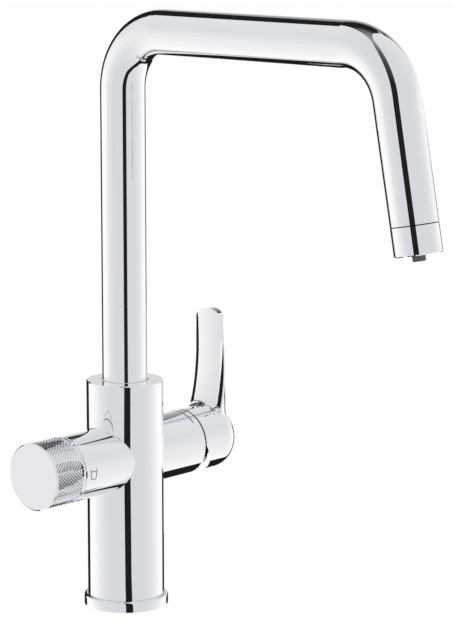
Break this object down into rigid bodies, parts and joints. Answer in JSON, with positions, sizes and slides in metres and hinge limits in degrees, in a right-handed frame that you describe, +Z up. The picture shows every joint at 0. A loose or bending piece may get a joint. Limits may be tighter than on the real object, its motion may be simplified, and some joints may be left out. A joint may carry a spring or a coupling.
{
  "type": "kitchen mixer tap",
  "caption": "Chrome kitchen mixer tap with a swivelling U spout, a side mixing lever and a knurled filtered-water knob.",
  "frame": {"origin": "middle of the base ring on the worktop plane", "axes": "+Z up along the body and riser, -Y the way the spout points at rest, +X towards the mixing lever"},
  "size_m": [0.161, 0.2587, 0.359],
  "materials": {
    "polished_chrome": "polished",
    "plain_brass": "machined",
    "stainless_steel": "machined",
    "black_rubber": "matte",
    "white_plastic": "satin",
    "dark_grey_plastic": "satin",
    "cartridge_plastic": "satin",
    "white_ceramic": "lapped"
  },
  "bodies": {
    "tap_body": {"base_ring": "polished_chrome", "base_gasket": "black_rubber", "main_body": "polished_chrome", "upper_glide_ring": "white_plastic", "lower_glide_ring": "white_plastic", "swivel_stop_screw": "stainless_steel", "filtered_water_seal": "black_rubber", "cartridge_base": "cartridge_plastic", "cartridge_port_seals": "black_rubber", "fixed_ceramic_disc": "white_ceramic", "cartridge_housing": "cartridge_plastic", "cartridge_nut": "plain_brass", "cover_cap": "polished_chrome", "valve_seat_seal": "black_rubber", "valve_body": "plain_brass", "valve_fixed_disc": "white_ceramic"},
    "spout": {"spout_tube": "polished_chrome", "spout_spigot": "plain_brass", "spout_o_rings": "black_rubber", "filtered_water_tube": "white_plastic", "outlet_sleeve": "polished_chrome", "outlet_bush": "plain_brass", "aerator_washer": "black_rubber", "aerator_insert": "white_plastic", "filter_nozzle": "dark_grey_plastic"},
    "mixer_turn": {"turning_sleeve": "cartridge_plastic", "spindle_pin": "stainless_steel"},
    "lever": {"lever_handle": "polished_chrome", "lever_spindle": "stainless_steel", "lever_screw": "stainless_steel", "lever_plug": "dark_grey_plastic"},
    "mixing_disc": {"moving_ceramic_disc": "white_ceramic", "disc_carrier": "cartridge_plastic"},
    "knob": {"filter_knob": "polished_chrome", "knob_bush": "white_plastic", "valve_spindle": "plain_brass", "valve_o_rings": "black_rubber", "spindle_clip": "stainless_steel", "valve_moving_disc": "white_ceramic"}
  },
  "joints": [
    {"name": "spout_swivel", "type": "hinge", "parent": "tap_body", "child": "spout", "pos_m": [0, 0, 0.12], "axis": [0, 0, 1], "range_deg": [-70, 70]},
    {"name": "lever_turn", "type": "hinge", "parent": "tap_body", "child": "mixer_turn", "pos_m": [0.0504, 0, 0.091], "axis": [1, 0, 0], "range_deg": [-50, 50]},
    {"name": "lever_tilt", "type": "hinge", "parent": "mixer_turn", "child": "lever", "pos_m": [0.0504, 0, 0.091], "axis": [0, 1, 0], "range_deg": [0, 23]},
    {"name": "disc_slide", "type": "slide", "parent": "mixer_turn", "child": "mixing_disc", "axis": [0, 0, 1], "range_m": [0, 0.0058]},
    {"name": "filter_turn", "type": "hinge", "parent": "tap_body", "child": "knob", "pos_m": [-0.06, 0, 0.091], "axis": [-1, 0, 0], "range_deg": [0, 90]}
  ],
  "couplings": [
    {"joint": "disc_slide", "follows": "lever_tilt", "m_per_rad": 0.014308}
  ]
}
